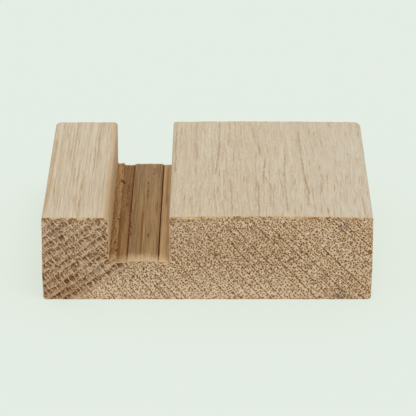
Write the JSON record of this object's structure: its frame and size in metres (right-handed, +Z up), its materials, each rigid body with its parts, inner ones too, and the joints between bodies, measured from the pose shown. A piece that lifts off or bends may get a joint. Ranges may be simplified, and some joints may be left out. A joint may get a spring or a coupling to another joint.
{
  "type": "tile display stand",
  "caption": "Small block of solid oak with a straight slot along the grain that holds the lower edge of a tile, so that it stands leaning back over the wider side.",
  "frame": {"origin": "middle of the underside", "axes": "+X across the grain from the narrow lip to the wide back, +Y along the grain and the slot, +Z up"},
  "size_m": [0.075, 0.065, 0.0203],
  "materials": {
    "oak": "bare oak, planed long faces and sawn end grain"
  },
  "bodies": {
    "root": {"oak_block": "oak"}
  },
  "joints": []
}
